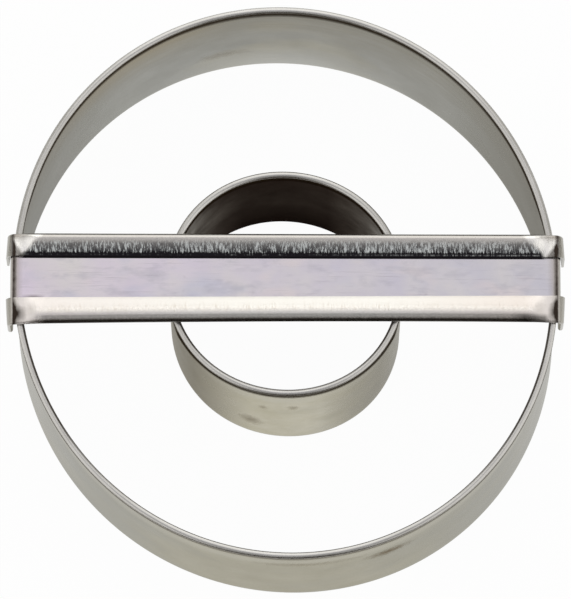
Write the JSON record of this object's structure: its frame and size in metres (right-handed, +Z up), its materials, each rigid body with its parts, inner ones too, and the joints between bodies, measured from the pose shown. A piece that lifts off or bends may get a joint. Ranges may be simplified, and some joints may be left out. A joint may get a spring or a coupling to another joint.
{
  "type": "ring cookie cutter",
  "caption": "Round pastry cutter for ring biscuits: a small hoop inside a larger hoop of the same height, joined by a hemmed handle strap, all in tinned sheet steel.",
  "frame": {"origin": "middle of the outer ring on the plane of the cutting edges", "axes": "+Z up from the cutting edges to the strap, +X along the strap, +Y across it to the side where the strap sits a little off centre"},
  "size_m": [0.0773, 0.0788, 0.0267],
  "materials": {
    "ring_sheet": "tinned sheet steel, satin bright, faint rolling lines and a few brown stains",
    "strap_sheet": "tinned sheet steel, brighter, fine scuffs across the hems",
    "solder": "dull grey soft solder, smooth and slightly lumpy"
  },
  "bodies": {
    "root": {"outer_ring": "ring_sheet", "inner_ring": "ring_sheet", "handle_strap": "strap_sheet", "outer_seam_solder": "solder", "inner_seam_solder": "solder", "solder_outer_left": "solder", "solder_outer_right": "solder", "solder_inner_left": "solder", "solder_inner_right": "solder"}
  },
  "joints": []
}
